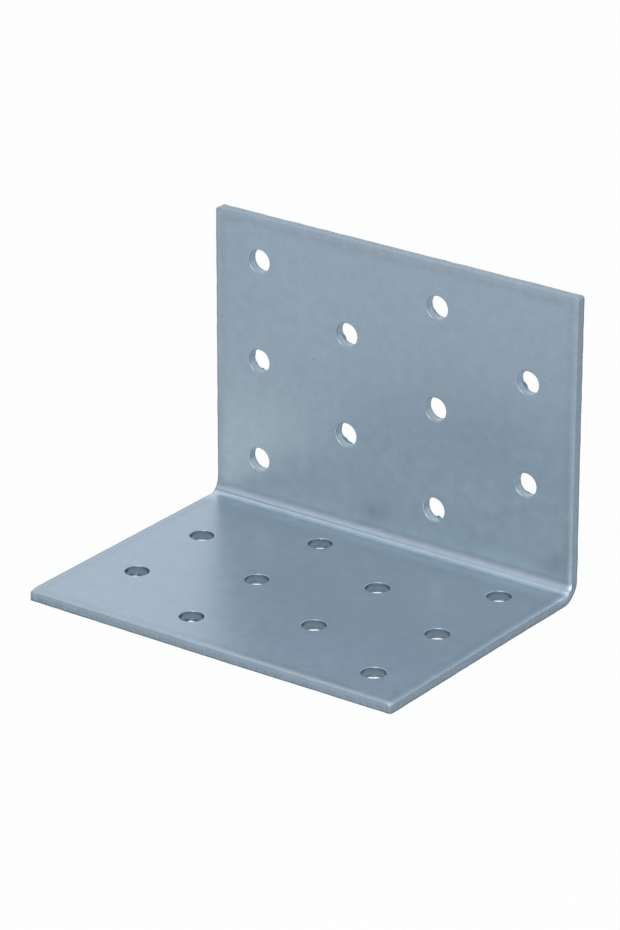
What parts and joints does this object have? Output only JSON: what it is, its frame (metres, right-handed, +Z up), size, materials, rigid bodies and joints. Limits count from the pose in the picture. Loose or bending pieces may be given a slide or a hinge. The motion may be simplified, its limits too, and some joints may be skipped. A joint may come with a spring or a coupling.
{
  "type": "corner brace bracket",
  "caption": "Right-angle corner brace folded from one plated steel sheet, with staggered round nail holes in both flanges.",
  "frame": {"origin": "middle of the footprint, on the underside of the base flange", "axes": "+Z up along the upright flange, +Y out through the upright's outer face, +X along the bend"},
  "size_m": [0.08, 0.0596, 0.0595],
  "materials": {
    "zinc_steel": "satin zinc plating"
  },
  "bodies": {
    "root": {"bracket": "zinc_steel"}
  },
  "joints": []
}
